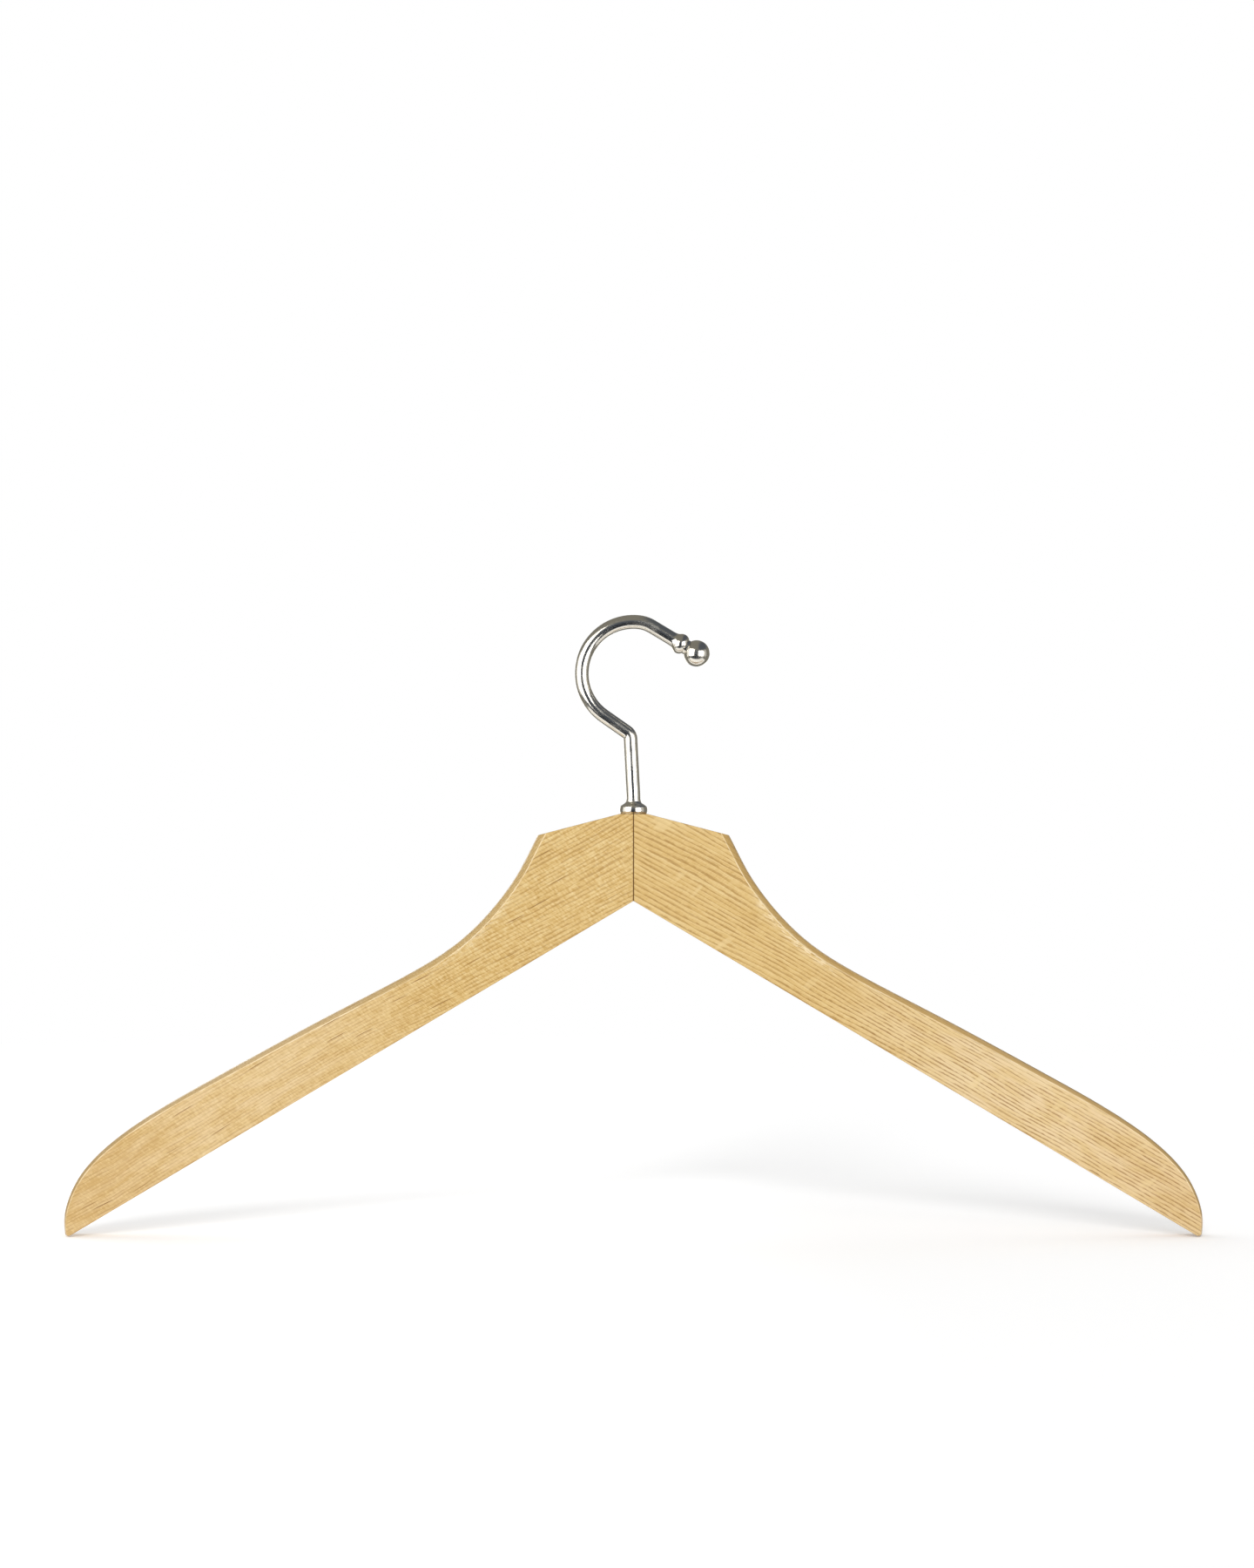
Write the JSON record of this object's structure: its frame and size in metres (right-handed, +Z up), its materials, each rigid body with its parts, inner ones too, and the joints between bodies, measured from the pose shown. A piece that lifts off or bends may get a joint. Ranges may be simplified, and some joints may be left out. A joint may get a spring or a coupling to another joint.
{
  "type": "clothes hanger",
  "caption": "Flat contoured wooden clothes hanger with mitred arms, rounded shoulder edges, a metal ferrule and a swivelling metal hook that ends in a ball.",
  "frame": {"origin": "the point inside the crown of the hook that rests on top of a clothes rail, on the swivel axis", "axes": "+Z up, +X along the span towards the side on which the hook opens, +Y through the thickness towards the back and along the rail"},
  "size_m": [0.44, 0.014, 0.24],
  "materials": {
    "oak": "satin lacquer over pale oak",
    "plated_steel": "polished nickel plate",
    "bushing_plastic": "natural acetal, matte",
    "zinc_steel": "zinc plated, satin",
    "ring_plastic": "blue nylon, matte"
  },
  "bodies": {
    "hook": {"hook_rod": "plated_steel", "ball_tip": "plated_steel", "lock_nut": "zinc_steel", "nut_lock_ring": "ring_plastic"},
    "hanger_body": {"left_arm": "oak", "right_arm": "oak", "ferrule": "plated_steel", "swivel_bushing": "bushing_plastic", "thrust_washer": "zinc_steel"}
  },
  "joints": [
    {"name": "hook_swivel", "type": "hinge", "parent": "hook", "child": "hanger_body", "pos_m": [0, 0, -0.0716], "axis": [0, 0, 1], "continuous": true}
  ]
}
